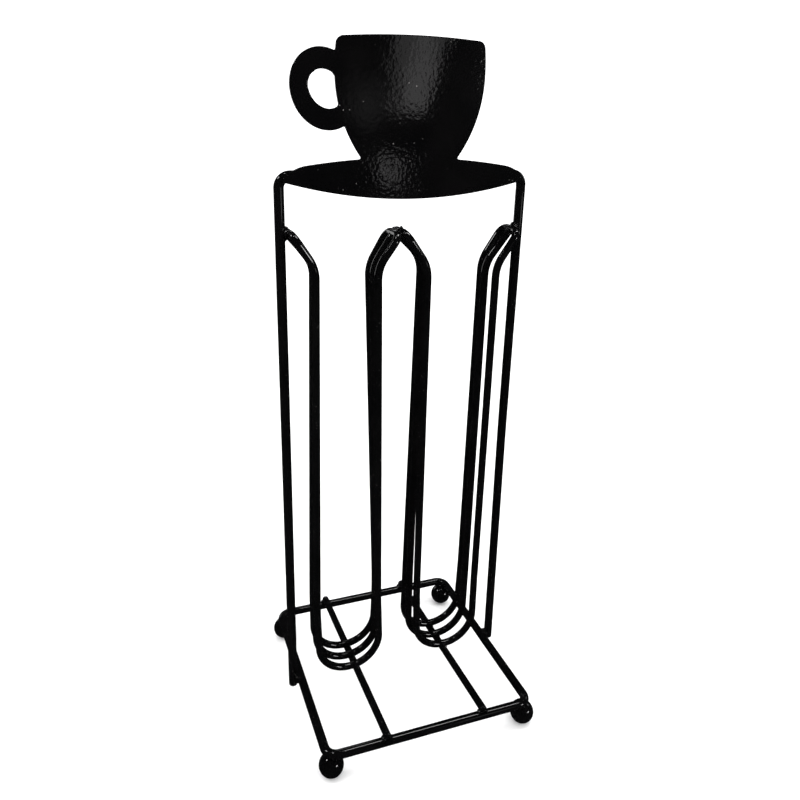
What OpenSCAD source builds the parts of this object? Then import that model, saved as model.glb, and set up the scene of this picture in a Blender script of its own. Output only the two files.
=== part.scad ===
// Two-channel wire stand for small coffee capsules, with a cup-and-saucer top plate.
// Frame: X across the channels, Y from front to back, Z up; the floor is Z = 0.

/* [Wire] */
// Diameter of the base and arch wire, mm
main_d = 6; // [4:0.5:10]
// Diameter of the channel and base rod wire, mm
thin_d = 5; // [3:0.5:8]

/* [Base] */
// Base width between the side rail centre lines, mm
base_w = 142; // [100:1:220]
// Base depth between the front and back rail centre lines, mm
base_l = 142; // [100:1:220]
// Centre-line radius of the base corners, mm
base_corner_r = 8; // [5:0.5:30]
// Diameter of each ball foot, mm
foot_d = 16; // [10:0.5:25]
// Diameter of the small flat each ball stands on, mm
foot_flat_d = 4; // [2:0.5:8]
// Place of the left base rod across the base, mm
left_rod_x = -33; // [-60:0.5:-10]
// Place of the right base rod across the base, mm
right_rod_x = 34; // [10:0.5:60]
// How far the base rods run past the rails' centre lines, mm
rod_tail = 2.2; // [1:0.1:2.6]

/* [Arch] */
// Width between the post centre lines, mm
arch_w = 154; // [120:1:240]
// Height of the arch's top bar centre line above the floor, mm
arch_h = 365.8; // [250:0.1:500]
// Centre-line radius of the arch corners, mm
arch_corner_r = 6.5; // [5:0.5:30]
// How far the posts reach below the base rail's centre line, mm
post_drop = 3.9; // [0:0.1:8]

/* [Channels] */
// Centre of the left channel, mm
left_channel_x = -38.4; // [-60:0.1:-20]
// Centre of the right channel, mm
right_channel_x = 33.7; // [20:0.1:60]
// Centre-line radius of the left channel's round bottom, mm
left_channel_r = 20.8; // [15:0.1:35]
// Centre-line radius of the right channel's round bottom, mm
right_channel_r = 22.2; // [15:0.1:35]
// Depth step from one channel wire to the next, mm
wire_step = 10.7; // [8:0.1:20]
// Sideways step from each left channel wire to the one behind it, mm
left_skew = 1.6; // [0:0.1:4]
// Sideways step from each right channel wire to the one behind it, mm
right_skew = 0.5; // [0:0.1:4]
// Height where the legs bend outward, mm
bend_h = 311.4; // [200:0.1:450]
// Height of the turned-over wire tops, mm
turn_h = 332.5; // [220:0.1:480]
// Centre-line radius of the turn at the wire tops, mm
turn_r = 6; // [3.5:0.1:8]
// Place of the seam where the two channels meet at the top, mm
seam_x = -5.5; // [-20:0.5:20]

/* [Cup plate] */
// Thickness of the cup and saucer plate, mm
plate_t = 2; // [1:0.5:5]
// Height of the cup's rim at its middle, mm
rim_h = 441; // [380:0.1:520]
// Half width of the cup at its widest, mm
cup_half_w = 45.5; // [30:0.5:60]
// Height of the cup's widest line, mm
cup_wide_h = 421.6; // [400:0.1:500]
// Radius of the cup's sides above the widest line, mm
cup_high_r = 112; // [70:1:300]
// Radius of the cup's sides below the widest line, mm
cup_low_r = 76; // [60:1:150]
// Radius of the cup's slightly crowned rim, mm
rim_crown_r = 505; // [200:10:900]
// Radius of the cup's two rim corners, mm
rim_corner_r = 3.4; // [1:0.1:10]
// Height of the saucer's lowest point, mm
saucer_low_h = 352.3; // [300:0.1:420]
// Height of the saucer's upper edge at its middle, mm
saucer_high_h = 376; // [320:0.1:440]
// Radius of the saucer's lower edge, mm
saucer_low_r = 285; // [200:5:600]
// Radius of the saucer's upper edge, mm
saucer_high_r = 420; // [300:5:900]
// Half width over which the saucer's upper edge keeps that radius, mm
saucer_flat_w = 61.6; // [40:0.1:70]
// Radius of the saucer's upper edge towards its ends, mm
saucer_end_r = 25; // [15:0.5:60]
// Radius of the saucer's two tips, mm
saucer_tip_r = 2.4; // [1:0.1:5]
// Half length of the cup handle, mm
handle_a = 22; // [15:0.5:35]
// Half width of the cup handle, mm
handle_b = 19; // [12:0.1:30]
// Half length of the hole in the handle, mm
handle_hole_a = 10.9; // [6:0.1:18]
// Half width of the hole in the handle, mm
handle_hole_b = 8.9; // [5:0.1:15]
// Place of the handle's centre beside the cup's middle, mm
handle_x = -51.5; // [-70:0.1:-40]
// Height of the handle's centre, mm
handle_h = 411.4; // [380:0.1:480]
// Lean of the handle from upright, degrees
handle_tilt = 26; // [0:1:60]
// Lean of the hole in the handle from upright, degrees
hole_tilt = 42; // [0:1:60]

/* [Hidden] */
$fn = 64;
gap = 0.01;
// A tight bend swells the wire slightly
bend_swell = 0.06;
main_r = main_d / 2;
thin_r = thin_d / 2;
half_w = base_w / 2;
half_l = base_l / 2;
post_x = arch_w / 2;
// The ball's centre, once its flat is on the floor
foot_z = sqrt(pow(foot_d / 2, 2) - pow(foot_flat_d / 2, 2));
rail_z = foot_z + foot_d / 2 + main_r + gap;
rod_z = rail_z + main_r + thin_r + gap;
// Feet sit under the middle of each corner's arc
foot_off = base_corner_r * (1 - cos(45));
foot_x = half_w - foot_off;
foot_y = half_l - foot_off;
rod_end = half_l + rod_tail;
// The turned-over tops touch the posts at the sides and each other at the seam
side_turn_x = post_x - main_r - thin_r - gap;
coat = [0.03, 0.03, 0.032];
plate_coat = [0.05, 0.05, 0.053];

function unit(v) = v / norm(v);
function angle_of(v) = atan2(v[1], v[0]);

// Centre height of a channel bottom that just rests on a base rod dx to its side
function channel_z(r, dx) = rod_z + sqrt(pow(r + thin_r * 2 + gap, 2) - dx * dx);

// Where two circles meet, on the side of positive height
function meet(c1, r1, c2, r2) =
    let (d = norm(c2 - c1))
    let (a = (r1 * r1 - r2 * r2 + d * d) / (2 * d))
    let (h = sqrt(r1 * r1 - a * a))
    let (u = (c2 - c1) / d)
    [c1 + a * u + h * [-u[1], u[0]], c1 + a * u - h * [-u[1], u[0]]];

// A straight round bar from p to q
module bar(p, q, d) {
    v = q - p;
    translate(p)
        rotate([0, acos(v[2] / norm(v)), atan2(v[1], v[0])])
            cylinder(d = d, h = norm(v));
}

// A bent round wire drawn step by step along its own direction:
// [length] is a straight, [radius, angle, side] a bend, [angle, side] a tight elbow
module wire_run(steps, d, i = 0) {
    if (i < len(steps)) {
        step = steps[i];
        if (len(step) == 1) {
            cylinder(d = d, h = step[0]);
            translate([0, 0, step[0]])
                wire_run(steps, d, i + 1);
        } else if (len(step) == 2) {
            rotate([0, 0, step[1]]) {
                rotate([0, step[0] / 2, 0])
                    sphere(d = d + bend_swell);
                rotate([0, step[0], 0])
                    wire_run(steps, d, i + 1);
            }
        } else {
            rotate([0, 0, step[2]]) {
                translate([step[0], 0, 0])
                    rotate([90, 0, 180])
                        rotate_extrude(angle = step[1])
                            translate([step[0], 0])
                                circle(d = d);
                translate([step[0], 0, 0])
                    rotate([0, step[1], 0])
                        translate([-step[0], 0, 0])
                            wire_run(steps, d, i + 1);
            }
        }
    }
}

// A quarter of round wire lying flat, starting at angle a0
module arc_flat(c, r, a0, d) {
    translate(c)
        rotate([0, 0, a0])
            rotate_extrude(angle = 90)
                translate([r, 0])
                    circle(d = d);
}

module arch_body() {
    r = arch_corner_r;
    low = rail_z - post_drop;
    post = arch_h - r - low;
    translate([-post_x, 0, low])
        wire_run([[post], [r, 90, 0], [arch_w - 2 * r], [r, 90, 0], [post]], main_d);
}

module base_body() {
    r = base_corner_r;
    for (s = [-1, 1]) {
        bar([r - half_w, s * half_l, rail_z], [half_w - r, s * half_l, rail_z], main_d);
        bar([s * half_w, r - half_l, rail_z], [s * half_w, half_l - r, rail_z], main_d);
    }
    arc_flat([half_w - r, half_l - r, rail_z], r, 0, main_d);
    arc_flat([r - half_w, half_l - r, rail_z], r, 90, main_d);
    arc_flat([r - half_w, r - half_l, rail_z], r, 180, main_d);
    arc_flat([half_w - r, r - half_l, rail_z], r, 270, main_d);
}

module rod_body(x) {
    bar([x, -rod_end, rod_z], [x, rod_end, rod_z], thin_d);
}

// A front or rear channel wire, both ends turned over toward the middle wire.
// cx is the channel's centre, r its radius; the tops end at left_top and right_top
module outer_wire(cx, r, rod_x, left_top, right_top) {
    leg = bend_h - channel_z(r, rod_x - cx);
    rise = turn_h - bend_h;
    reach_l = cx - r - left_top;
    reach_r = right_top - cx - r;
    tip = wire_step - turn_r - gap / 2;
    lean_l = atan2(reach_l, rise);
    lean_r = atan2(reach_r, rise);
    translate([left_top, -gap / 2, turn_h])
        rotate([90, 0, 0])
            rotate([0, 0, lean_l - 90])
                wire_run([
                    [tip], [turn_r, 90, 0], [norm([reach_l, rise]) - turn_r], [lean_l, -90],
                    [leg], [r, 180, 180], [leg],
                    [lean_r, 180], [norm([reach_r, rise]) - turn_r], [turn_r, 90, 90], [tip]
                ], thin_d);
}

// A middle channel wire, coped to fit under the turned-over tops
module middle_wire(cx, r, rod_x, left_top, right_top) {
    leg = bend_h - channel_z(r, rod_x - cx);
    rise = turn_h - bend_h;
    reach_l = cx - r - left_top;
    reach_r = right_top - cx - r;
    lean_l = atan2(reach_l, rise);
    lean_r = atan2(reach_r, rise);
    difference() {
        translate([left_top, 0, turn_h])
            rotate([0, 180 - lean_l, 0])
                wire_run([
                    [norm([reach_l, rise])], [lean_l, 0], [leg], [r, 180, 180], [leg],
                    [lean_r, 180], [norm([reach_r, rise])]
                ], thin_d);
        for (x = [left_top, right_top])
            bar([x, -wire_step, turn_h], [x, wire_step, turn_h], thin_d + 4 * gap);
        for (x = [left_top, right_top])
            translate([x - thin_d, -wire_step, turn_h])
                cube([2 * thin_d, 2 * wire_step, 2 * thin_d]);
    }
}

module channel_wire(cx, r, rod_x, depth, left_top, right_top) {
    if (depth == 0)
        middle_wire(cx, r, rod_x, left_top, right_top);
    else if (depth < 0)
        outer_wire(cx, r, rod_x, left_top, right_top);
    else
        mirror([0, 1, 0])
            outer_wire(cx, r, rod_x, left_top, right_top);
}

module left_wire(depth) {
    channel_wire(left_channel_x + depth * left_skew, left_channel_r, left_rod_x, depth,
        -side_turn_x, seam_x - thin_r - gap);
}

module right_wire(depth) {
    channel_wire(right_channel_x + depth * right_skew, right_channel_r, right_rod_x, depth,
        seam_x + thin_r + gap, side_turn_x);
}

module foot_body(sx, sy) {
    difference() {
        translate([sx * foot_x, sy * foot_y, foot_z])
            sphere(d = foot_d);
        translate([sx * foot_x - foot_d, sy * foot_y - foot_d, -foot_d])
            cube([2 * foot_d, 2 * foot_d, foot_d]);
    }
}

// The lens between two equal arcs that stand cup_half_w either side of the cup's middle
module side_arcs(r) {
    intersection() {
        translate([cup_half_w - r, cup_wide_h])
            circle(r = r);
        translate([r - cup_half_w, cup_wide_h])
            circle(r = r);
    }
}

// The cup's outline, with X across and the second axis up
module cup_shape() {
    crown = [0, rim_h - rim_crown_r];
    side_c = [cup_half_w - cup_high_r, cup_wide_h];
    corner = meet(side_c, cup_high_r - rim_corner_r, crown, rim_crown_r - rim_corner_r)[0];
    cx = abs(corner[0]);
    intersection() {
        side_arcs(cup_low_r);
        translate([-60, saucer_high_h - 6])
            square([120, cup_wide_h - saucer_high_h + 6]);
    }
    difference() {
        intersection() {
            side_arcs(cup_high_r);
            translate(crown)
                circle(r = rim_crown_r);
            translate([-60, cup_wide_h])
                square([120, 60]);
        }
        for (s = [0, 1])
            mirror([s, 0])
                translate([cx, corner[1]])
                    square([20, 20]);
    }
    for (s = [-1, 1])
        translate([s * cx, corner[1]])
            circle(r = rim_corner_r);
}

// The saucer's outline: a thin lens that curves down more tightly towards its rounded tips
module saucer_shape() {
    low_c = [0, saucer_low_h + saucer_low_r];
    high_c = [0, saucer_high_h - saucer_high_r];
    lean = asin(saucer_flat_w / saucer_high_r);
    end_c = high_c + (saucer_high_r - saucer_end_r) * [sin(lean), cos(lean)];
    tip = meet(low_c, saucer_low_r - saucer_tip_r, end_c, saucer_end_r - saucer_tip_r)[0];
    low_touch = low_c + (tip - low_c) * saucer_low_r / (saucer_low_r - saucer_tip_r);
    end_touch = end_c + (tip - end_c) * saucer_end_r / (saucer_end_r - saucer_tip_r);
    across = end_touch - low_touch;
    intersection() {
        translate(low_c)
            circle(r = saucer_low_r);
        translate(high_c)
            circle(r = saucer_high_r);
        translate([-saucer_flat_w, saucer_low_h - 10])
            square([2 * saucer_flat_w, 60]);
    }
    for (s = [0, 1])
        mirror([s, 0]) {
            difference() {
                intersection() {
                    translate(low_c)
                        circle(r = saucer_low_r);
                    translate(end_c)
                        circle(r = saucer_end_r);
                    translate([saucer_flat_w, saucer_low_h - 10])
                        square([40, 60]);
                }
                translate(low_touch)
                    rotate(atan2(across[1], across[0]))
                        translate([-5, -12])
                            square([20, 12]);
            }
            translate(tip)
                circle(r = saucer_tip_r);
        }
}

function ellipse(a, b) = [for (i = [0:71]) [b * cos(i * 5), a * sin(i * 5)]];

module handle_shape() {
    translate([handle_x, handle_h])
        difference() {
            rotate(handle_tilt)
                polygon(ellipse(handle_a, handle_b));
            rotate(hole_tilt)
                polygon(ellipse(handle_hole_a, handle_hole_b));
        }
}

module plate_body() {
    translate([0, -main_r - gap, 0])
        rotate([90, 0, 0])
            linear_extrude(height = plate_t)
                union() {
                    cup_shape();
                    saucer_shape();
                    handle_shape();
                }
}

module bead(p, r) {
    translate(p)
        rotate([37, 23, 11])
            sphere(r = r, $fn = 32);
}

module arch_frame() {
    color(coat)
        arch_body();
}

module base_loop() {
    color(coat)
        base_body();
}

module left_base_rod() {
    color(coat)
        rod_body(left_rod_x);
}

module right_base_rod() {
    color(coat)
        rod_body(right_rod_x);
}

module left_channel_front_wire() {
    color(coat)
        left_wire(-1);
}

module left_channel_middle_wire() {
    color(coat)
        left_wire(0);
}

module left_channel_rear_wire() {
    color(coat)
        left_wire(1);
}

module right_channel_front_wire() {
    color(coat)
        right_wire(-1);
}

module right_channel_middle_wire() {
    color(coat)
        right_wire(0);
}

module right_channel_rear_wire() {
    color(coat)
        right_wire(1);
}

module foot_front_left() {
    color(coat)
        foot_body(-1, -1);
}

module foot_front_right() {
    color(coat)
        foot_body(1, -1);
}

module foot_rear_left() {
    color(coat)
        foot_body(-1, 1);
}

module foot_rear_right() {
    color(coat)
        foot_body(1, 1);
}

module cup_plate() {
    color(plate_coat)
        plate_body();
}

// Two beads beside each crossing of a base rod and the front or back rail
module rod_welds() {
    color(coat)
        for (x = [left_rod_x, right_rod_x], s = [-1, 1], t = [-1, 1])
            difference() {
                bead([x + t * 2.4, s * half_l, rail_z + main_r - 0.1], 1.9);
                rod_body(x);
                bar([x - 10, s * half_l, rail_z], [x + 10, s * half_l, rail_z], main_d);
            }
}

// Two beads where each channel wire rests on its base rod
module channel_bead(cx, r, rod_x, depth, t) {
    cz = channel_z(r, rod_x - cx);
    touch = [cx, cz] + (r + thin_r) * unit([rod_x, rod_z] - [cx, cz]);
    difference() {
        bead([touch[0], depth * wire_step + t * 2.2, touch[1] + 0.1], 1.8);
        rod_body(rod_x);
        translate([cx, depth * wire_step, cz])
            rotate([90, 0, 0])
                rotate([0, 0, 225])
                    rotate_extrude(angle = 90)
                        translate([r, 0])
                            circle(d = thin_d);
    }
}

module channel_welds() {
    color(coat)
        for (depth = [-1:1], t = [-1, 1]) {
            channel_bead(left_channel_x + depth * left_skew, left_channel_r, left_rod_x, depth, t);
            channel_bead(right_channel_x + depth * right_skew, right_channel_r, right_rod_x, depth, t);
        }
}

// Beads in front of, behind and above the joint of each post and side rail
module post_welds() {
    color(coat)
        for (s = [-1, 1], p = [[-2.7, 0.2], [2.7, 0.2], [0, 2.9]])
            difference() {
                bead([s * (half_w + post_x) / 2, p[0], rail_z + p[1]], 2.4);
                bar([s * post_x, 0, rail_z - post_drop], [s * post_x, 0, rail_z + 20], main_d);
                bar([s * half_w, -20, rail_z], [s * half_w, 20, rail_z], main_d);
            }
}

// Beads between the turned-over tops and the posts, and along the seam
module top_welds() {
    color(coat) {
        for (s = [-1, 1], t = [-1, 1])
            difference() {
                bead([s * (post_x - main_r - 0.3), 0, turn_h + t * 2.7], 2.3);
                bar([s * post_x, 0, 300], [s * post_x, 0, 350], main_d);
                bar([s * side_turn_x, -8, turn_h], [s * side_turn_x, 8, turn_h], thin_d);
            }
        for (y = [-4.6, 0, 4.6])
            difference() {
                bead([seam_x, y, turn_h + 2.1], 2);
                for (x = [seam_x - thin_r - gap, seam_x + thin_r + gap])
                    bar([x, -8, turn_h], [x, 8, turn_h], thin_d);
            }
    }
}

// Beads behind the saucer, above and below the arch's top bar
module plate_welds() {
    color(coat)
        for (x = [-48, 0, 48], t = [-1, 1])
            difference() {
                bead([x, 0.6 - main_r, arch_h + t * 2.9], 2.2);
                bar([x - 10, 0, arch_h], [x + 10, 0, arch_h], main_d);
                translate([x - 10, -main_r - gap - 10, arch_h - 10])
                    cube([20, 10, 20]);
            }
}

// Beads between each ball foot and the base corner above it
module foot_welds() {
    color(coat)
        for (sx = [-1, 1], sy = [-1, 1], t = [-1, 1])
            difference() {
                bead([sx * (foot_x + t * 1.7), sy * (foot_y + t * 1.7), rail_z - main_r], 1.9);
                translate([sx * foot_x, sy * foot_y, foot_z])
                    sphere(d = foot_d);
                base_body();
            }
}

arch_frame();
base_loop();
left_base_rod();
right_base_rod();
left_channel_front_wire();
left_channel_middle_wire();
left_channel_rear_wire();
right_channel_front_wire();
right_channel_middle_wire();
right_channel_rear_wire();
foot_front_left();
foot_front_right();
foot_rear_left();
foot_rear_right();
cup_plate();
rod_welds();
channel_welds();
post_welds();
top_welds();
plate_welds();
foot_welds();
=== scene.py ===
"""Coffee capsule stand: glossy black wire, hammered cup-and-saucer plate, ball feet."""
import math

import bmesh
import bpy
import numpy as np
from mathutils import Matrix, Vector, noise
from mathutils.geometry import delaunay_2d_cdt


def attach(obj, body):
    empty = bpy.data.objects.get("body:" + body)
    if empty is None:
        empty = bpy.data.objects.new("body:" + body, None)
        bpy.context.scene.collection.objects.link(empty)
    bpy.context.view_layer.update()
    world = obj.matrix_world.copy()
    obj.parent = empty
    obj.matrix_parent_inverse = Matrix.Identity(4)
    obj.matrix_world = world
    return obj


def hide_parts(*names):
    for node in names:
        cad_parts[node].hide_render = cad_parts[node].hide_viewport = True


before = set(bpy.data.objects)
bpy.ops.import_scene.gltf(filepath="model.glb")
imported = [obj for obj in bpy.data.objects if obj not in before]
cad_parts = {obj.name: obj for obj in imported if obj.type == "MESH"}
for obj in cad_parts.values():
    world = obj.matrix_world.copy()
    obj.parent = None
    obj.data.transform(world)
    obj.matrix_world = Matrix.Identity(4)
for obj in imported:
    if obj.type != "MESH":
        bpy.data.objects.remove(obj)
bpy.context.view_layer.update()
scene = bpy.context.scene
MM = 0.001


# ------------------------------------------------------------------ camera
CAMERA_PLACE = (-159.1, -396.9, 395.1)    # mm
YAW, PITCH, ROLL = math.radians(20.19), math.radians(18.4), math.radians(1.09)


def make_camera():
    ahead = Vector((
        math.sin(YAW) * math.cos(PITCH),
        math.cos(YAW) * math.cos(PITCH),
        -math.sin(PITCH),
    ))
    right = Vector((math.cos(YAW), -math.sin(YAW), 0))
    up = right.cross(ahead)
    right, up = (
        math.cos(ROLL) * right + math.sin(ROLL) * up,
        math.cos(ROLL) * up - math.sin(ROLL) * right,
    )
    data = bpy.data.cameras.new("camera")
    data.sensor_width = 36
    data.lens = 31.65
    data.shift_x = 0.0203
    data.shift_y = -0.0549
    data.clip_start, data.clip_end = 0.02, 50
    cam = bpy.data.objects.new("camera", data)
    turn = Matrix((right, up, -ahead)).transposed().to_4x4()
    cam.matrix_world = Matrix.Translation(Vector(CAMERA_PLACE) * MM) @ turn
    scene.collection.objects.link(cam)
    scene.camera = cam


make_camera()

# ------------------------------------------------------------------ sizes, in mm
MAIN_R, THIN_R = 3.0, 2.5
# heights of the centre lines of the base loop, the base rods and the arch's top bar
RAIL_Z, ROD_Z, ARCH_Z = 18.756, 24.266, 365.8
POST_LOW, POST_MID = RAIL_Z - 3.9, 190         # heights of a post's lower end and its middle
POST_BOW_R, ARCH_TURN_R, BASE_TURN_R = 4000, 6.7, 7.6
BASE_HALF, SIDE_RAIL_X = 71, 71.1              # from the middle to the front and the side rails
ROD_FRONT, ROD_BACK = -73.2, 72.8              # depths of a base rod's ends
STEP = 10.7                                    # depth from one channel wire to the next
PLATE_BACK, PLATE_T = -MAIN_R - 0.01, 2.0
FOOT_R, FOOT_FLAT_R = 8.0, 2.0
# Hand-bent wire is never quite square: the base loop's corners before rounding
BASE_CORNERS = {
    "front_left": (-71.2, -70.4), "front_right": (71.2, -72.0),
    "rear_right": (71.1, 70.9), "rear_left": (-71.1, 71.5),
}
FEET = {
    "front_left": (-67.8, -66.4), "front_right": (69.2, -67.9),
    "rear_left": (-69.0, 68.8), "rear_right": (68.4, 68.0),
}
# x of the base rods, in front and behind, and of the posts, low down, at mid height and at the top
RODS = {"left_base_rod": (-32.2, -33.7), "right_base_rod": (35.8, 32.3)}
POSTS = {"left": (-77.0, -77.2, -77.5), "right": (77.8, 76.2, 76.3)}
# One leg of a channel: x at the upper bend and just above the round bottom, for the front wire and for
# the rear wire, and what the middle wire adds to their mean; then for the front and the rear wire how
# far the round bottom is drawn in, and the height of the upper bend
LEGS = {
    ("left", "left"): ((-59.7, -62.0), (-55.7, -59.7), (-0.2, -0.2), (2.6, 1.3), (314.9, 314.6)),
    ("left", "right"): ((-21.6, -17.4), (-20.3, -10.9), (0.1, -0.7), (1.4, -2.8), (313.4, 311.0)),
    ("right", "left"): ((10.3, 11.0), (14.5, 10.8), (-1.1, -1.5), (1.4, 0.1), (312.4, 314.6)),
    ("right", "right"): ((57.0, 55.8), (57.6, 56.6), (-2.4, -1.9), (0.6, -1.2), (310.6, 310.6)),
}
# Where a leg's turned-over top meets a post or the other channel: x and height
TOPS = {
    ("left", "left"): (-72.1, 333.5), ("left", "right"): (-8.4, 331.9),
    ("right", "left"): (-4.2, 332.7), ("right", "right"): (71.3, 331.9),
}
# radii of the upper bends, of the turned-over tops and of the legs' slight bow low down
BEND_R, TURN_R, LEG_BOW_R = 22.0, 6.0, 400
LEG_BOW_UP = 50                                # height of that bow above the round bottom
BOTTOM_FLAT = 0.25                             # half the straight at the bottom of a channel
SPREAD = {"left": (-10.8, 11.0), "right": (-11.5, 12.2)}    # depths of the outer wires' bottoms


# ------------------------------------------------------------------ mesh helpers
def add_mesh(name, verts, faces, sharp=38.0):
    """A smooth-shaded object from vertices in mm, with edges over sharp degrees kept sharp."""
    mesh = bpy.data.meshes.new(name)
    mesh.from_pydata([tuple(v) for v in np.asarray(verts, float) * MM], [], faces)
    mesh.validate()
    mesh.update()
    mesh.shade_smooth()
    mesh.set_sharp_from_angle(angle=math.radians(sharp))
    obj = bpy.data.objects.new(name, mesh)
    scene.collection.objects.link(obj)
    return obj


RUN_STEP = 5.0        # mm between points along a straight run
MIN_GAP = 0.02        # nearer points than this are one point


def rounded_path(corners, radii, closed=False, turn_step=5.0):
    """Points along straight runs joined by tangent arcs, one point every turn_step degrees."""
    pts = [np.array(c, float) for c in corners]
    n = len(pts)
    out = []

    def arc(i):
        p, a, b = pts[i], pts[(i - 1) % n], pts[(i + 1) % n]
        u, v = (a - p) / np.linalg.norm(a - p), (b - p) / np.linalg.norm(b - p)
        turn = math.pi - math.acos(max(-1.0, min(1.0, float(u @ v))))
        if radii[i] <= 0 or turn < 1e-4:
            return [p]
        cut = radii[i] * math.tan(turn / 2)
        start, side = p + u * cut, u + v
        centre = p + side / np.linalg.norm(side) * math.hypot(radii[i], cut)
        x_dir = start - centre
        y_dir = -u * np.linalg.norm(x_dir)
        k = max(3, int(math.degrees(turn) / turn_step))
        return [centre + x_dir * math.cos(turn * j / k) + y_dir * math.sin(turn * j / k)
                for j in range(k + 1)]

    groups = []
    for i in range(n):
        groups.append([pts[i]] if not closed and i in (0, n - 1) else arc(i))
    for i, group in enumerate(groups):
        out.extend(group)
        if i < n - 1 or closed:
            a, b = group[-1], groups[(i + 1) % n][0]
            k = int(np.linalg.norm(b - a) // RUN_STEP)
            out.extend(a + (b - a) * j / (k + 1) for j in range(1, k + 1))
    kept = [out[0]]
    for p in out[1:]:
        if np.linalg.norm(p - kept[-1]) > MIN_GAP:
            kept.append(p)
    if closed and np.linalg.norm(kept[0] - kept[-1]) < MIN_GAP:
        kept.pop()
    return np.array(kept)


COAT_SWELL = 0.05     # mm


def coat_swell(p):
    """A small change of the coat's thickness from place to place."""
    q = Vector(p) * 0.11
    return COAT_SWELL * (noise.noise(q) + 0.5 * noise.noise(q * 2.7 + Vector((3.1, 0.4, 7.7))))


END_ROUND = {"cut": 0.9, "worn": 1.5}    # radius of the rounding round a sawn or a worn end
END_STEPS = 7


def end_rings(r, kind):
    """Where an end's rounding starts, back from the end, and its rings as (back from the end, radius)."""
    if kind == "flat":
        return 0.0, []
    dome = kind == "dome"
    c = r if dome else END_ROUND[kind]
    depth = c * (0.8 if dome else 1.0)
    angles = [math.radians((84 if dome else 90) * j / END_STEPS) for j in range(1, END_STEPS + 1)]
    return depth, [(depth * (1 - math.sin(a)), r - c + c * math.cos(a)) for a in angles]


def unit(a):
    return a / np.linalg.norm(a, axis=-1, keepdims=True)


def tube(name, path, r, closed=False, ends=("flat", "flat"), sides=30):
    """Sweeps a round section along a path, keeping its roll steady."""
    path = np.asarray(path, float)
    n = len(path)
    ahead = np.roll(path, -1, 0) - path
    behind = path - np.roll(path, 1, 0)
    if not closed:
        ahead[-1], behind[0] = behind[-1], ahead[0]
    tang = unit(unit(ahead) + unit(behind))
    side = np.cross(tang[0], (0.0, 0.0, 1.0))
    if np.linalg.norm(side) < 0.1:
        side = np.cross(tang[0], (0.0, 1.0, 0.0))
    side = unit(side)
    ang = np.arange(sides) * 2 * math.pi / sides
    sections = []
    for i in range(n):
        side = unit(side - tang[i] * (side @ tang[i]))
        sections.append((path[i], tang[i], side, r))
    if not closed:
        (head_from, head), (tail_from, tail) = end_rings(r, ends[0]), end_rings(r, ends[1])
        p0, t0, s0, _ = sections[0]
        p1, t1, s1, _ = sections[-1]
        sections[0] = (p0 + t0 * head_from, t0, s0, r)
        sections[-1] = (p1 - t1 * tail_from, t1, s1, r)
        sections = [(p0 + t0 * back, t0, s0, rr) for back, rr in reversed(head)] + sections
        sections += [(p1 - t1 * back, t1, s1, rr) for back, rr in tail]
    verts = []
    for p, t, s, rr in sections:
        u = np.cross(t, s)
        ring = p + np.outer(np.cos(ang), s) * rr + np.outer(np.sin(ang), u) * rr
        out = (ring - p) / max(rr, 1e-6)
        verts.extend(ring + out * np.array([[coat_swell(v)] for v in ring]) * min(1.0, rr / r))
    m = len(sections)
    faces = []
    for i in range(m if closed else m - 1):
        a, b = i * sides, (i + 1) % m * sides
        shift = 0
        if closed and i == m - 1:      # join on the nearest vertex of the first ring
            gaps = [np.linalg.norm(verts[a] - verts[b + k]) for k in range(sides)]
            shift = int(np.argmin(gaps))
        for j in range(sides):
            k, jj, kk = (j + 1) % sides, (j + shift) % sides, (j + 1 + shift) % sides
            faces.append((a + j, a + k, b + kk, b + jj))
    if not closed:
        faces.append(tuple(reversed(range(sides))))
        faces.append(tuple(range((m - 1) * sides, m * sides)))
    return add_mesh(name, verts, faces)


# ------------------------------------------------------------------ materials
BLACK_DEEP, BLACK_PALE = (0.0008, 0.0008, 0.0009), (0.0017, 0.0016, 0.0017)
DUST_COLOUR = (0.13, 0.125, 0.12, 1)
OFF, ON = (0, 0, 0), (1, 1, 1)
SAG_TOP, SAG_FULL = 0.395, 0.375    # heights in metres between which a coat's sag sets in


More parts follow.
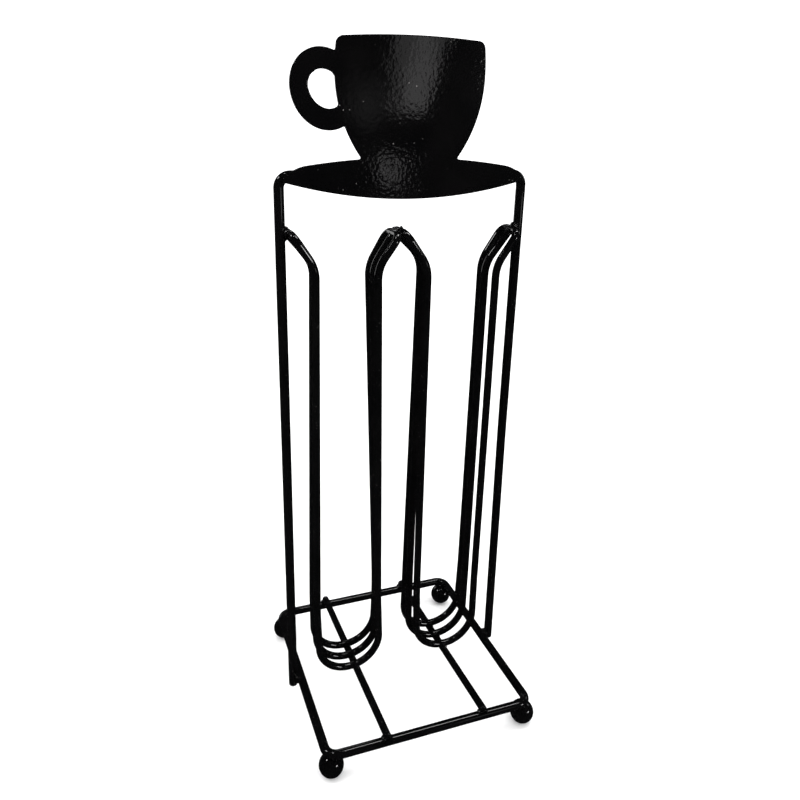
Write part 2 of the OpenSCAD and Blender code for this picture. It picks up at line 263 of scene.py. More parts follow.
def coat_material(name, peel, peel_scale, rough, dust, speck=520, sag=0):
    """Glossy black coat: orange peel, uneven gloss and fine dust specks.

    peel is the relief's depth in metres, rough the least roughness, dust how pale the specks are,
    peel_scale and speck the noise scales, and sag what multiplies the relief at the plate's foot.
    """
    mat = bpy.data.materials.new(name)
    mat.use_nodes = True
    nt = mat.node_tree
    n, link = nt.nodes, nt.links.new
    bsdf = n["Principled BSDF"]
    bsdf.inputs["IOR"].default_value = 1.5
    bsdf.inputs["Coat Weight"].default_value = 0.35
    bsdf.inputs["Coat Roughness"].default_value = 0.05
    coords = n.new("ShaderNodeTexCoord")

    def noise_node(scale, detail, roughness=0.5):
        node = n.new("ShaderNodeTexNoise")
        node.inputs["Scale"].default_value = scale
        node.inputs["Detail"].default_value = detail
        node.inputs["Roughness"].default_value = roughness
        link(coords.outputs["Object"], node.inputs["Vector"])
        return node

    def ramp(source, stops):
        node = n.new("ShaderNodeValToRGB")
        for element, (position, colour) in zip(node.color_ramp.elements, stops):
            element.position, element.color = position, (*colour, 1)
        link(source, node.inputs["Fac"])
        return node

    def times(source, value):
        """source multiplied by a number or by another output."""
        node = n.new("ShaderNodeMath")
        node.operation = "MULTIPLY"
        link(source, node.inputs[0])
        if isinstance(value, (int, float)):
            node.inputs[1].default_value = value
        else:
            link(value, node.inputs[1])
        return node.outputs[0]

    # colour: deep black, a little paler from place to place, with dust specks in patches
    tint = ramp(noise_node(45, 3).outputs["Fac"], [(0.3, BLACK_DEEP), (0.7, BLACK_PALE)])
    specks = n.new("ShaderNodeTexVoronoi")
    specks.inputs["Scale"].default_value = speck
    link(coords.outputs["Object"], specks.inputs["Vector"])
    dots = ramp(specks.outputs["Distance"], [(0.07, ON), (0.14, OFF)])
    patches = ramp(noise_node(70, 2).outputs["Fac"], [(0.56, OFF), (0.66, ON)])
    mix = n.new("ShaderNodeMix")
    mix.data_type = "RGBA"
    link(times(times(dots.outputs["Color"], patches.outputs["Color"]), dust), mix.inputs["Factor"])
    link(tint.outputs["Color"], mix.inputs["A"])
    mix.inputs["B"].default_value = DUST_COLOUR
    link(mix.outputs["Result"], bsdf.inputs["Base Color"])

    # gloss: polished with duller clouds
    gloss = n.new("ShaderNodeMapRange")
    gloss.inputs["From Min"].default_value = 0.3
    gloss.inputs["From Max"].default_value = 0.75
    gloss.inputs["To Min"].default_value = rough
    gloss.inputs["To Max"].default_value = rough * 1.8
    link(noise_node(110, 4, 0.6).outputs["Fac"], gloss.inputs["Value"])
    link(gloss.outputs["Result"], bsdf.inputs["Roughness"])

    # relief: orange peel, with finer grain on top
    wide, fine = noise_node(peel_scale, 1.5, 0.45), noise_node(peel_scale * 3.1, 2)
    bump = n.new("ShaderNodeBump")
    bump.inputs["Strength"].default_value = 1
    bump.inputs["Distance"].default_value = peel
    link(wide.outputs["Fac"], bump.inputs["Height"])
    if sag:
        # the coat ran down and set rougher towards the foot
        place = n.new("ShaderNodeSeparateXYZ")
        link(coords.outputs["Object"], place.inputs["Vector"])
        depth = n.new("ShaderNodeMapRange")
        depth.interpolation_type = "SMOOTHSTEP"
        depth.inputs["From Min"].default_value = SAG_TOP
        depth.inputs["From Max"].default_value = SAG_FULL
        depth.inputs["To Min"].default_value = peel
        depth.inputs["To Max"].default_value = peel * sag
        link(place.outputs["Z"], depth.inputs["Value"])
        link(depth.outputs["Result"], bump.inputs["Distance"])
    grain = n.new("ShaderNodeBump")
    grain.inputs["Strength"].default_value = 1
    grain.inputs["Distance"].default_value = peel * 0.16
    link(fine.outputs["Fac"], grain.inputs["Height"])
    link(bump.outputs["Normal"], grain.inputs["Normal"])
    link(grain.outputs["Normal"], bsdf.inputs["Normal"])
    link(bump.outputs["Normal"], bsdf.inputs["Coat Normal"])
    return mat


COATS = {
    "wire_coat": coat_material("black_wire_coat", 4e-6, 420, 0.04, 0.7),
    "plate_coat": coat_material("black_hammered_plate_coat", 3.0e-5, 520, 0.028, 1.0, speck=300, sag=1.7),
    "foot_coat": coat_material("black_ball_coat", 5e-6, 420, 0.045, 0.7),
}


def finish_piece(obj, slot, node):
    """Gives a piece its body and its slot's coat, and hides the CAD node that it stands for."""
    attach(obj, "root")
    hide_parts(node)
    obj.data.materials.clear()
    obj.data.materials.append(COATS[slot])


# ------------------------------------------------------------------ arch, base and rods
def rod_x(node, y):
    """x of a base rod's centre line at depth y."""
    front, back = RODS[node]
    return front + (back - front) * (y + BASE_HALF) / (2 * BASE_HALF)


def rail_y(row, x):
    """Depth of the front or rear rail's centre line at x."""
    (xa, ya), (xb, yb) = BASE_CORNERS[row + "_left"], BASE_CORNERS[row + "_right"]
    return ya + (yb - ya) * (x - xa) / (xb - xa)


def build_frame_wires():
    heights = (POST_LOW, POST_MID, ARCH_Z)
    left, right = ([(x, 0, z) for x, z in zip(POSTS[side], heights)] for side in ("left", "right"))
    turns = [0, POST_BOW_R, ARCH_TURN_R]
    path = rounded_path(left + right[::-1], turns + turns[::-1], turn_step=4)
    arch = tube("arch_wire", path, MAIN_R, ends=("cut", "cut"), sides=36)
    finish_piece(arch, "wire_coat", "arch_frame")
    corners = [(x, y, RAIL_Z) for x, y in BASE_CORNERS.values()]
    path = rounded_path(corners, [BASE_TURN_R] * 4, closed=True)
    finish_piece(tube("base_wire", path, MAIN_R, closed=True, sides=36), "wire_coat", "base_loop")
    for node, (front, back) in RODS.items():
        path = rounded_path([(front, ROD_FRONT, ROD_Z), (back, ROD_BACK, ROD_Z)], [0, 0])
        finish_piece(tube(node + "_wire", path, THIN_R, ends=("cut", "worn")), "wire_coat", node)


# ------------------------------------------------------------------ channel wires
def leg(side, which, depth):
    """One wire's x at the upper bend and near the bottom, its bottom's draw-in and its bend's height.

    depth is -1 for the front wire, 0 for the middle one and 1 for the rear one.
    """
    front, rear, middle, tuck, bend = LEGS[side, which]
    w = (depth + 1) / 2
    top, low = ((1 - w) * f + w * r + (0 if depth else m) for f, r, m in zip(front, rear, middle))
    return top, low, (1 - w) * tuck[0] + w * tuck[1], (1 - w) * bend[0] + w * bend[1]


def bottom(side, depth):
    """One wire's round bottom: its middle's x, its radius, its depth and its lowest centre height."""
    (_, lb, lt, _), (_, rb, rt, _) = leg(side, "left", depth), leg(side, "right", depth)
    a, b = lb + lt, rb + rt
    r, cx = (b - a) / 2, (a + b) / 2
    y = 0.0 if depth == 0 else SPREAD[side][(depth + 1) // 2]
    dx = rod_x(side + "_base_rod", y) - cx
    return cx, r, y, ROD_Z + math.sqrt((r + 2 * THIN_R) ** 2 - dx * dx) - r


def build_channels():
    for side in ("left", "right"):
        for depth, word in ((-1, "front"), (0, "middle"), (1, "rear")):
            cx, r, yb, z = bottom(side, depth)
            y, z_low = depth * STEP, z + LEG_BOW_UP
            corners, radii = [(cx - r, yb, z), (cx + r, yb, z)], [r - BOTTOM_FLAT] * 2
            for which in ("left", "right"):
                top, low, _, bend = leg(side, which, depth)
                x_top, z_top = TOPS[side, which]
                w = LEG_BOW_UP / (bend - z)
                x_low, y_low = low + (top - low) * w, yb + (y - yb) * w
                run = [(x_top, y, z_top), (top, y, bend), (x_low, y_low, z_low)]
                turn = [0, BEND_R, LEG_BOW_R]
                if depth:    # the outer wires' tops turn over towards the middle wire
                    run, turn = [(x_top, 0, z_top)] + run, [0, TURN_R] + turn[1:]
                if which == "left":
                    corners, radii = run + corners, turn + radii
                else:
                    corners, radii = corners + run[::-1], radii + turn[::-1]
            ends = ("flat", "flat") if depth else ("dome", "dome")
            node = f"{side}_channel_{word}_wire"
            path = rounded_path(corners, radii, turn_step=4.5)
            finish_piece(tube(node + "_coated", path, THIN_R, ends=ends), "wire_coat", node)


# ------------------------------------------------------------------ ball feet
def build_feet():
    z_c = math.sqrt(FOOT_R ** 2 - FOOT_FLAT_R ** 2)
    a_end = math.pi - math.asin(FOOT_FLAT_R / FOOT_R)
    n, m = 56, 30    # vertices round a ball and rings down it
    for place, (x, y) in FEET.items():
        c = np.array([x, y, z_c])
        verts = [c + (0, 0, FOOT_R)]
        for i in range(1, m + 1):
            a = a_end * i / m
            for j in range(n):
                b = 2 * math.pi * j / n
                d = np.array([math.sin(a) * math.cos(b), math.sin(a) * math.sin(b), math.cos(a)])
                p = c + d * FOOT_R
                if i < m:
                    p = p + d * coat_swell(p * 2.2) * min(1, 2 * (1 - i / m))
                verts.append(p)
        faces = [(0, 1 + j, 1 + (j + 1) % n) for j in range(n)]
        for i in range(m - 1):
            for j in range(n):
                k, a0, b0 = (j + 1) % n, 1 + i * n, 1 + (i + 1) * n
                faces.append((a0 + j, b0 + j, b0 + k, a0 + k))
        last = 1 + (m - 1) * n
        faces.append(tuple(reversed(range(last, last + n))))
        node = "foot_" + place
        finish_piece(add_mesh(node + "_ball", verts, faces), "foot_coat", node)


# ------------------------------------------------------------------ the cup-and-saucer plate
# The cup: its middle and half width at its widest line, the radii of its sides above and below that
# line, its foot, hidden in the saucer, and its crowned rim with two rounded corners
CUP_X, CUP_HALF_W, CUP_WIDE_Z, CUP_FOOT_Z = -0.7, 45.4, 421.6, 368.5
CUP_HIGH_R, CUP_LOW_R = 112.0, 76.0
RIM_X, RIM_Z, RIM_R, RIM_CORNER_R = 7.0, 441.0, 506.0, 3.3
# The handle and the hole in it: centre, half axes and lean in degrees
HANDLE = ((-51.5, 411.4), 21.8, 19.0, 26)
HOLE = ((-51.0, 411.6), 10.9, 8.9, 42)
# The saucer: its lower arc, its upper arc, the tighter arc at either end of the upper edge and the tips
SAUCER_X, SAUCER_LOW, SAUCER_HIGH, SAUCER_FLAT_W = -0.5, 352.3, 376.0, 61.6
LOW_R, HIGH_R, END_R, TIP_R = 285.0, 420.0, 25.0, 2.4
LOW_Z, HIGH_Z = SAUCER_LOW + LOW_R, SAUCER_HIGH - HIGH_R
END_LEAN = math.asin(SAUCER_FLAT_W / HIGH_R)
END_X, END_Z = (HIGH_R - END_R) * math.sin(END_LEAN), HIGH_Z + (HIGH_R - END_R) * math.cos(END_LEAN)
# Radii of the inner corners where the saucer and the handle meet the cup
SAUCER_FILLET, HANDLE_FILLET = 1.4, 0.9


def join_round(a, b, r):
    """Joins two shapes, with their inner corners rounded to r."""
    return np.maximum(r, np.minimum(a, b)) - np.hypot(np.maximum(r - a, 0), np.maximum(r - b, 0))


def meet_round(a, b, r):
    """What two shapes share, with its corners rounded to r."""
    return np.minimum(-r, np.maximum(a, b)) + np.hypot(np.maximum(r + a, 0), np.maximum(r + b, 0))


def circle(x, z, r):
    """Distance to a circle round the origin."""
    return np.hypot(x, z) - r


def oval(x, z, centre, a, b, lean):
    """Distance to an ellipse with half axes a (upright before it leans) and b."""
    t = math.radians(lean)
    dx, dz = x - centre[0], z - centre[1]
    u, v = dx * math.cos(t) + dz * math.sin(t), -dx * math.sin(t) + dz * math.cos(t)
    k0, k1 = np.hypot(u / b, v / a), np.hypot(u / b ** 2, v / a ** 2)
    return k0 * (k0 - 1) / np.maximum(k1, 1e-6)


def plate_field(x, z):
    """Signed distance to the plate's outline, negative inside."""
    cx, up = x - CUP_X, z - CUP_WIDE_Z
    ax = np.abs(cx)
    side = np.where(up < 0, circle(ax + CUP_LOW_R - CUP_HALF_W, up, CUP_LOW_R),
                    circle(ax + CUP_HIGH_R - CUP_HALF_W, up, CUP_HIGH_R))
    rim = circle(cx - RIM_X, z - RIM_Z + RIM_R, RIM_R)
    cup = np.maximum(meet_round(side, rim, RIM_CORNER_R), CUP_FOOT_Z - z)
    ax = np.abs(x - SAUCER_X)
    at_end = ax * math.cos(END_LEAN) > (z - HIGH_Z) * math.sin(END_LEAN)
    over = np.where(at_end, circle(ax - END_X, z - END_Z, END_R), circle(ax, z - HIGH_Z, HIGH_R))
    saucer = meet_round(over, circle(ax, z - LOW_Z, LOW_R), TIP_R)
    handle = np.maximum(oval(x, z, *HANDLE), -oval(x, z, *HOLE))
    return join_round(join_round(cup, saucer, SAUCER_FILLET), handle, HANDLE_FILLET)


def field_slope(p):
    """How the field grows along x and z at each of the points p."""
    h = 0.02
    gx = plate_field(p[:, 0] + h, p[:, 1]) - plate_field(p[:, 0] - h, p[:, 1])
    gz = plate_field(p[:, 0], p[:, 1] + h) - plate_field(p[:, 0], p[:, 1] - h)
    return np.stack([gx, gz], 1) / (2 * h)


GRID_X, GRID_Z, GRID_CELL = (-84, 84.01), (346, 446.01), 0.5
EDGE_SPACING = 0.75                      # between points along the outline
EDGE_R, EDGE_STEPS = 0.55, 5             # rounding between the plate's faces and its edge
FACE_X, FACE_Z = (-76, 78), (350.0, 442)
FACE_SPACING, FACE_MARGIN = 1.7, 1.5     # between points inside a face, and from there to the outline


def trace_outline():
    """The outline's closed loops, evenly spaced, from a grid of the distance field."""
    xs, zs = np.arange(*GRID_X, GRID_CELL), np.arange(*GRID_Z, GRID_CELL)
    f = plate_field(*np.meshgrid(xs, zs, indexing="ij")) + 1e-9
    inside = f < 0
    follows = {}

    def cross(i, j, k, l):
        """The grid edge from (i, j) to (k, l), and where the outline crosses it."""
        w = f[i, j] / (f[i, j] - f[k, l])
        return ((i, j, k, l) if (i, j) < (k, l) else (k, l, i, j),
                (xs[i] + w * (xs[k] - xs[i]), zs[j] + w * (zs[l] - zs[j])))

    near, far = (inside[:-1, :-1], inside[1:, 1:]), (inside[1:, :-1], inside[:-1, 1:])
    mixed = np.argwhere(np.any([a != b for a in near for b in far], axis=0))
    for i, j in mixed:
        ring = [(i, j), (i + 1, j), (i + 1, j + 1), (i, j + 1)]
        enter = [cross(*ring[k], *ring[(k + 1) % 4]) for k in range(4)
                 if inside[ring[k]] and not inside[ring[(k + 1) % 4]]]
        leave = [cross(*ring[k], *ring[(k + 1) % 4]) for k in range(4)
                 if not inside[ring[k]] and inside[ring[(k + 1) % 4]]]
        for (ka, pa), (kb, pb) in zip(enter, leave):
            follows[ka] = (kb, pa)
    loops = []
    while follows:
        key = next(iter(follows))
        loop = []
        while key in follows:
            key, p = follows.pop(key)
            loop.append(p)
        if len(loop) > 20:
            loops.append(np.array(loop))
    even = []
    for loop in loops:
        closed = np.vstack([loop, loop[:1]])
        run = np.concatenate([[0], np.cumsum(np.linalg.norm(np.diff(closed, axis=0), axis=1))])
        count = int(run[-1] / EDGE_SPACING)
        at = np.arange(count) * run[-1] / count
        p = np.stack([np.interp(at, run, closed[:, 0]), np.interp(at, run, closed[:, 1])], 1)
        for _ in range(3):    # steps onto the outline itself
            g = field_slope(p)
            p = p - g * (plate_field(p[:, 0], p[:, 1]) / np.maximum((g * g).sum(1), 1e-6))[:, None]
        even.append(p)
    return even


def sheet_wave(x, z):
    """The sheet's slight unevenness, in mm."""
    a = noise.noise(Vector((x * 0.031, z * 0.031, 1.7)))
    b = noise.noise(Vector((x * 0.085, z * 0.085, 6.2)))
    return 0.06 * a + 0.02 * b


def build_plate():
    front = PLATE_BACK - PLATE_T
    # the edge's section, as (in from the outline, depth), from the front face to the back one
    profile = [(EDGE_R * (1 - math.sin(a)), front + EDGE_R * (1 - math.cos(a)))
               for a in (math.pi / 2 * i / EDGE_STEPS for i in range(EDGE_STEPS + 1))]
    profile += [(d, 2 * front + PLATE_T - y) for d, y in reversed(profile)]
    verts, faces, rims = [], [], []
    for loop in trace_outline():
        g = unit(field_slope(loop))
        n, start = len(loop), len(verts)
        for d, y in profile:
            q = loop - g * d
            verts.extend((px, y + sheet_wave(px, pz), pz) for px, pz in q)
        m = len(profile)
        for i in range(m - 1):
            for j in range(n):
                k = (j + 1) % n
                a, b = start + i * n, start + (i + 1) * n
                faces.append((a + j, a + k, b + k, b + j))
        rims.append((start, start + (m - 1) * n, loop - g * EDGE_R))
    # both faces share one even triangulation
    pts, edges, to_front, to_back = [], [], [], []
    for front_at, back_at, rim in rims:
        base, n = len(pts), len(rim)
        pts.extend(Vector(p) for p in rim)
        edges.extend((base + j, base + (j + 1) % n) for j in range(n))
        to_front.extend(range(front_at, front_at + n))
        to_back.extend(range(back_at, back_at + n))
    row, z = 0, FACE_Z[0]
    while z < FACE_Z[1]:
        xs = np.arange(FACE_X[0] + (row % 2) * FACE_SPACING / 2, FACE_X[1], FACE_SPACING)
        for x in xs[plate_field(xs, np.full_like(xs, z)) < -FACE_MARGIN].tolist():
            pts.append(Vector((x, z)))
            to_front.append(len(verts))
            verts.append((x, front + sheet_wave(x, z), z))
            to_back.append(len(verts))
            verts.append((x, front + PLATE_T + sheet_wave(x, z), z))
        z += FACE_SPACING * 0.866    # even triangles' height
        row += 1
    _, _, tris, orig, _, _ = delaunay_2d_cdt(pts, edges, [], 2, 1e-5)
    ids = [o[0] for o in orig]
    for tri in tris:
        a, b, c = (ids[t] for t in tri)
        pa, pb, pc = pts[a], pts[b], pts[c]
        mid = np.array([[pa.x + pb.x + pc.x], [pa.y + pb.y + pc.y]]) / 3
        if plate_field(*mid)[0] > 0:    # in the handle's hole or outside
            continue
        if (pb - pa).cross(pc - pa) < 0:
            b, c = c, b
        faces.append((to_front[a], to_front[b], to_front[c]))
        faces.append((to_back[a], to_back[c], to_back[b]))
    obj = add_mesh("cup_and_saucer_plate", verts, faces, sharp=60)
    bm = bmesh.new()
    bm.from_mesh(obj.data)
    bmesh.ops.remove_doubles(bm, verts=bm.verts, dist=1e-6)
    bmesh.ops.recalc_face_normals(bm, faces=bm.faces)
    bm.to_mesh(obj.data)
    bm.free()
    obj.data.shade_smooth()
    finish_piece(obj, "plate_coat", "cup_plate")


# ------------------------------------------------------------------ welds
MAIN_IN, THIN_IN = MAIN_R - 0.12, THIN_R - 0.12    # weld bars stay just under the wires' skin
SEAM_R = 1.7
WELD_VOXEL, WELD_SMOOTH = 0.3, 12                  # mm, and rounds of smoothing


def ball_part(c, radii):
    """Vertices and faces of a blob round c, with a radius along each axis."""
    n, m = 16, 10
    verts = [(c[0], c[1], c[2] + radii[2])]
    for i in range(1, m):
        a = math.pi * i / m
        verts += [(c[0] + radii[0] * math.sin(a) * math.cos(2 * math.pi * j / n),
                   c[1] + radii[1] * math.sin(a) * math.sin(2 * math.pi * j / n),
                   c[2] + radii[2] * math.cos(a)) for j in range(n)]
    verts.append((c[0], c[1], c[2] - radii[2]))
    faces = [(0, 1 + j, 1 + (j + 1) % n) for j in range(n)]
    for i in range(m - 2):
        for j in range(n):
            k, a0, b0 = (j + 1) % n, 1 + i * n, 1 + (i + 1) * n
            faces.append((a0 + j, b0 + j, b0 + k, a0 + k))
    end = len(verts) - 1
    faces += [(end, end - n + (j + 1) % n, end - n + j) for j in range(n)]
    return verts, faces


def bar_part(a, b, r):
    """Vertices and faces of a round bar from a to b."""
    a, b = np.array(a, float), np.array(b, float)
    t = (b - a) / np.linalg.norm(b - a)
    s = np.cross(t, (0, 0, 1) if abs(t[2]) < 0.9 else (0, 1, 0))
    s /= np.linalg.norm(s)
    u, n = np.cross(t, s), 20
    verts = [tuple(p + s * r * math.cos(2 * math.pi * j / n) + u * r * math.sin(2 * math.pi * j / n))
             for p in (a, b) for j in range(n)]
    faces = [(j, (j + 1) % n, n + (j + 1) % n, n + j) for j in range(n)]
    return verts, faces + [tuple(reversed(range(n))), tuple(range(n, 2 * n))]


def weld_piece(name, node, parts):
    """Fuses rough bars and blobs into one piece of soft-edged weld metal."""
    verts, faces = [], []
    for v, f in parts:
        base = len(verts)
        verts += v
        faces += [tuple(base + i for i in face) for face in f]
    raw = add_mesh(name + "_raw", verts, faces)
    fuse = raw.modifiers.new("fuse", "REMESH")
    fuse.mode, fuse.voxel_size, fuse.use_smooth_shade = "VOXEL", WELD_VOXEL * MM, True
    soft = raw.modifiers.new("soft", "SMOOTH")
    soft.factor, soft.iterations = 0.5, WELD_SMOOTH
    graph = bpy.context.evaluated_depsgraph_get()
    mesh = bpy.data.meshes.new_from_object(raw.evaluated_get(graph))
    bpy.data.objects.remove(raw)
    mesh.name = name
    mesh.shade_smooth()
    obj = bpy.data.objects.new(name, mesh)
    scene.collection.objects.link(obj)
    finish_piece(obj, "wire_coat", node)


def rod_weld_parts():
    """A bead on either side of each base rod where it crosses a rail, and a blob under its end."""
    parts = []
    for node in RODS:
        for row, s in (("front", -1), ("rear", 1)):
            x = rod_x(node, s * BASE_HALF)
            y = rail_y(row, x)
            rail = [(x + dx, rail_y(row, x + dx), RAIL_Z) for dx in (-6, 6)]
            rod = [(x, y + s, ROD_Z), (x, y - 5 * s, ROD_Z)]
            parts += [bar_part(*rail, MAIN_IN), bar_part(*sorted(rod), THIN_IN)]
            parts += [ball_part((x + t * 2.3, y, RAIL_Z + MAIN_R + 0.3), (1.5, 2.3, 1.3)) for t in (-1, 1)]
            parts.append(ball_part((x + 0.4, y + s * 1.2, ROD_Z - 0.6), (2.2, 1.5, 1.4)))
    return parts


def channel_weld_parts():
    """A bead before and behind each channel wire where it rests on a base rod."""
    parts = []
    for side in ("left", "right"):
        for depth in (-1, 0, 1):
            cx, r, y, z = bottom(side, depth)
            x, cz = rod_x(side + "_base_rod", y), z + r
            a = math.atan2(ROD_Z - cz, x - cx)
            before, at, after = ((cx + r * math.cos(a + da), y, cz + r * math.sin(a + da))
                                 for da in (-0.26, 0.0, 0.26))
            parts += [bar_part(before, at, THIN_IN - 0.1), bar_part(at, after, THIN_IN - 0.1),
                      bar_part((x, y - 4.2, ROD_Z), (x, y + 4.2, ROD_Z), THIN_IN)]
            hit_x, hit_z = cx + (r + THIN_R) * math.cos(a), cz + (r + THIN_R) * math.sin(a)
            parts += [ball_part((hit_x, y + t * 1.9, hit_z + 0.3), (2.0, 1.2, 1.1)) for t in (-1, 1)]
    return parts


def post_weld_parts():
    """Beads round each post where it stands against a side rail."""
    parts = []
    for s, side in ((-1, "left"), (1, "right")):
        post, rail = POSTS[side][0], s * SIDE_RAIL_X
        x = (rail + post) / 2
        parts += [bar_part((post, 0, POST_LOW + 0.5), (post, 0, RAIL_Z + 8), MAIN_IN),
                  bar_part((rail, -7, RAIL_Z), (rail, 7, RAIL_Z), MAIN_IN)]
        parts += [ball_part((x, t * 2.0, RAIL_Z + 0.2), (1.7, 1.5, 2.3)) for t in (-1, 1)]
        parts += [ball_part((x, 0, RAIL_Z + 2.0), (1.6, 2.1, 1.8)),
                  ball_part((x + 0.2 * s, -0.8, RAIL_Z - 2.0), (1.5, 1.7, 1.1))]
    return parts


def top_weld_parts():
    """The lumpy welds where the outer legs' tops meet the posts, and the seam of the inner legs' tops."""
    parts = []
    for s, side in ((-1, "left"), (1, "right")):
        post = POSTS[side][2]
        x, z = TOPS[side, side]
        bend_x, _, _, bend_z = leg(side, side, 0)
        lean = math.atan2(abs(x - bend_x), z - bend_z)
        parts += [bar_part((post, 0, z - 9), (post, 0, z + 9), MAIN_IN),
                  bar_part((x, -5, z), (x, 5, z), THIN_IN),
                  bar_part((x, 0, z), (x - s * 8 * math.sin(lean), 0, z - 8 * math.cos(lean)), THIN_IN)]
        edge = s * (abs(post) - MAIN_R)
        parts += [ball_part((edge - 0.3 * s, -0.5, z + 2.7), (1.9, 2.7, 1.9)),
                  ball_part((edge, 0.4, z - 2.6), (1.3, 2.4, 1.5)),
                  ball_part((edge + 0.2 * s, -3.1, z + 0.4), (1.2, 1.2, 2.0)),
                  ball_part((edge - 0.8 * s, -2.4, z + 3.6), (0.8, 0.9, 0.8))]
    for side, which, t in (("left", "right", -1), ("right", "left", 1)):
        x, z = TOPS[side, which]
        parts += [bar_part((x, -5.2, z), (x, 5.2, z), THIN_IN),
                  bar_part((x, 0, z), (x + t * 4.0, 0, z - 6), THIN_IN)]
    # one smooth seam between the two channels' inner tops, with a small peak at its front
    (x_left, _), (x_right, z) = TOPS["left", "right"], TOPS["right", "left"]
    x = (x_left + x_right) / 2
    parts.append(bar_part((x, -4.4, z + 0.9), (x, 5.0, z + 0.9), SEAM_R))
    parts.append(ball_part((x + 1.4, -3.6, z + 2.5), (1.1, 1.5, 1.5)))
    return parts


def plate_weld_parts():
    """Three short runs above and below the arch's top bar, along the plate's back."""
    parts = []
    for x in (-48, 0, 48):
        parts.append(bar_part((x - 6, 0, ARCH_Z), (x + 6, 0, ARCH_Z), MAIN_IN))
        for t in (-1, 1):
            for dx, dy in ((-2.6, 0.0), (0.0, 0.25), (2.6, -0.1)):
                place = (x + dx, PLATE_BACK + 0.9 + dy, ARCH_Z + t * 2.9)
                parts.append(ball_part(place, (1.9, 1.4, 1.6)))
    return parts


def foot_weld_parts():
    """A soft collar between each ball and the base loop."""
    parts = []
    for x, y in FEET.values():
        c = np.array([x, y, RAIL_Z - MAIN_R - 0.1])
        parts += [ball_part(c - (0, 0, 1.6), (2.8, 2.8, 1.7)), ball_part(c, (2.4, 2.4, 1.2)),
                  ball_part(c + (0, 0, 0.5), (2.0, 2.0, 0.9))]
    return parts


def build_welds():
    weld_piece("rod_weld_beads", "rod_welds", rod_weld_parts())
    weld_piece("channel_weld_beads", "channel_welds", channel_weld_parts())
    weld_piece("post_weld_beads", "post_welds", post_weld_parts())
    weld_piece("top_weld_beads", "top_welds", top_weld_parts())
    weld_piece("plate_weld_beads", "plate_welds", plate_weld_parts())
    weld_piece("foot_weld_collars", "foot_welds", foot_weld_parts())


build_frame_wires()
build_channels()
build_feet()
build_plate()
build_welds()


# ------------------------------------------------------------------ floor, light and surroundings
FLOOR_HALF, FLOOR_CELLS = 3200.0, 12
FLOOR_DARK, FLOOR_PALE = (0.93, 0.93, 0.93, 1), (0.95, 0.95, 0.95, 1)
# The white studio that lights the floor, and how dark it looks in the glossy coat
STUDIO_WHITE, STUDIO_DARK = (1.6, 1.6, 1.6, 1), (0.012, 0.012, 0.013, 1)


def make_floor():
    n = FLOOR_CELLS
    at = [(i / n - 0.5) * 2 * FLOOR_HALF for i in range(n + 1)]
    corners = [i * (n + 1) + j for i in range(n) for j in range(n)]
    obj = add_mesh("floor", [(x, y, 0.0) for x in at for y in at],
                   [(a, a + n + 1, a + n + 2, a + 1) for a in corners])
    mat = bpy.data.materials.new("pale_floor")
    mat.use_nodes = True
    nt = mat.node_tree
    bsdf = nt.nodes["Principled BSDF"]
    tex = nt.nodes.new("ShaderNodeTexNoise")
    tex.inputs["Scale"].default_value = 6
    mix = nt.nodes.new("ShaderNodeMix")
    mix.data_type = "RGBA"
    mix.inputs["A"].default_value = FLOOR_DARK
    mix.inputs["B"].default_value = FLOOR_PALE
    nt.links.new(tex.outputs["Fac"], mix.inputs["Factor"])
    nt.links.new(mix.outputs["Result"], bsdf.inputs["Base Color"])
    bsdf.inputs["Roughness"].default_value = 0.9
    bsdf.inputs["Specular IOR Level"].default_value = 0.0
    obj.data.materials.append(mat)
    obj.visible_glossy = False


def make_world():
    world = bpy.data.worlds.new("studio")
    scene.world = world
    world.use_nodes = True
    nt = world.node_tree
    back = nt.nodes["Background"]
    path = nt.nodes.new("ShaderNodeLightPath")
    dim = nt.nodes.new("ShaderNodeMix")
    dim.data_type = "RGBA"
    dim.inputs["A"].default_value = STUDIO_WHITE
    dim.inputs["B"].default_value = STUDIO_DARK
    nt.links.new(path.outputs["Is Glossy Ray"], dim.inputs["Factor"])
    nt.links.new(dim.outputs["Result"], back.inputs["Color"])
    back.inputs["Strength"].default_value = 1.0


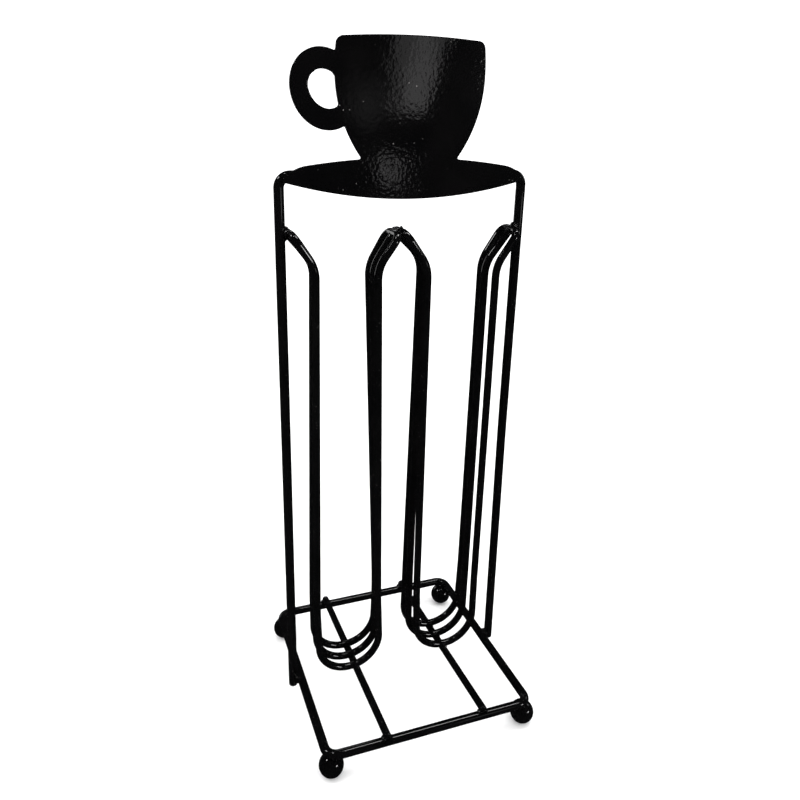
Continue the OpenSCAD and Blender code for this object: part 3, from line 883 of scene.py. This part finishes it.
def area_light(name, place, aim, size, radiance, tilt=0.0, shape="RECTANGLE"):
    """A soft box at place facing aim, both in mm, leaning by tilt degrees; its size in metres."""
    data = bpy.data.lights.new(name, "AREA")
    data.shape = shape
    data.size, data.size_y = size
    area = size[0] * size[1] * (math.pi / 4 if shape == "ELLIPSE" else 1)
    data.energy = radiance * area * math.pi
    obj = bpy.data.objects.new(name, data)
    away = (Vector(place) - Vector(aim)).normalized()
    obj.location = Vector(place) * MM
    obj.rotation_euler = away.to_track_quat("Z", "Y").to_euler()
    obj.rotation_euler.rotate_axis("Z", math.radians(tilt))
    obj.visible_camera = False
    scene.collection.objects.link(obj)


def make_lights():
    plate, front_rail = (0, -5, 410), (0, -71, 19)
    # two boxes right of the camera: the patch on the cup, its right edge slanting
    area_light("front_tall", (597, -1500, 547), plate, (0.10, 0.25), 0.38)
    area_light("front_slanted", (646, -1500, 562), plate, (0.07, 0.27), 0.38, tilt=-17)
    # a soft round glow on the cup's left
    area_light("front_glow", (476, -1500, 447), plate, (0.11, 0.16), 0.05, shape="ELLIPSE")
    area_light("front_glow_core", (478, -1500, 440), plate, (0.05, 0.08), 0.07, shape="ELLIPSE")
    # a low card: the broken patch on the saucer
    area_light("front_low", (545, -1500, 268), plate, (0.05, 0.075), 0.75)
    # two overhead boxes: the thin lines along the front and rear rails, the dots on the balls
    area_light("overhead", (445, -100, 1430), front_rail, (0.10, 0.5), 16.0)
    area_light("overhead_left", (-350, -170, 1430), front_rail, (0.12, 0.12), 16.0)
    # a box in front on the right and one high on the left: the bright lines on the legs' slopes
    area_light("right_slope_box", (1150, -1500, 505), (-66, -10, 324), (0.46, 0.2), 14.0)
    area_light("left_high_box", (-1050, 195, 1310), (64, -10, 320), (0.26, 0.26), 12.0)
    # a weak box at the right side: the edges of the slopes
    area_light("right_side", (1330, 150, 720), (0, 0, 320), (0.3, 0.45), 1.0)
    # a small box to the right of the camera: the inner side of the left post, near its top
    area_light("right_front", (760, -1000, 205), (-77, 0, 350), (0.14, 0.07), 2.5)
    # boxes behind: the grey upper sides of the hooks and of the arch's bends
    area_light("rear_high", (300, 2050, 1330), (0, 0, 330), (0.5, 0.3), 1.5)
    area_light("rear_left", (-520, 1600, 420), (0, 0, 250), (0.5, 0.7), 1.0)


make_floor()
make_world()
make_lights()
scene.view_settings.view_transform = "Standard"
scene.view_settings.look = "None"
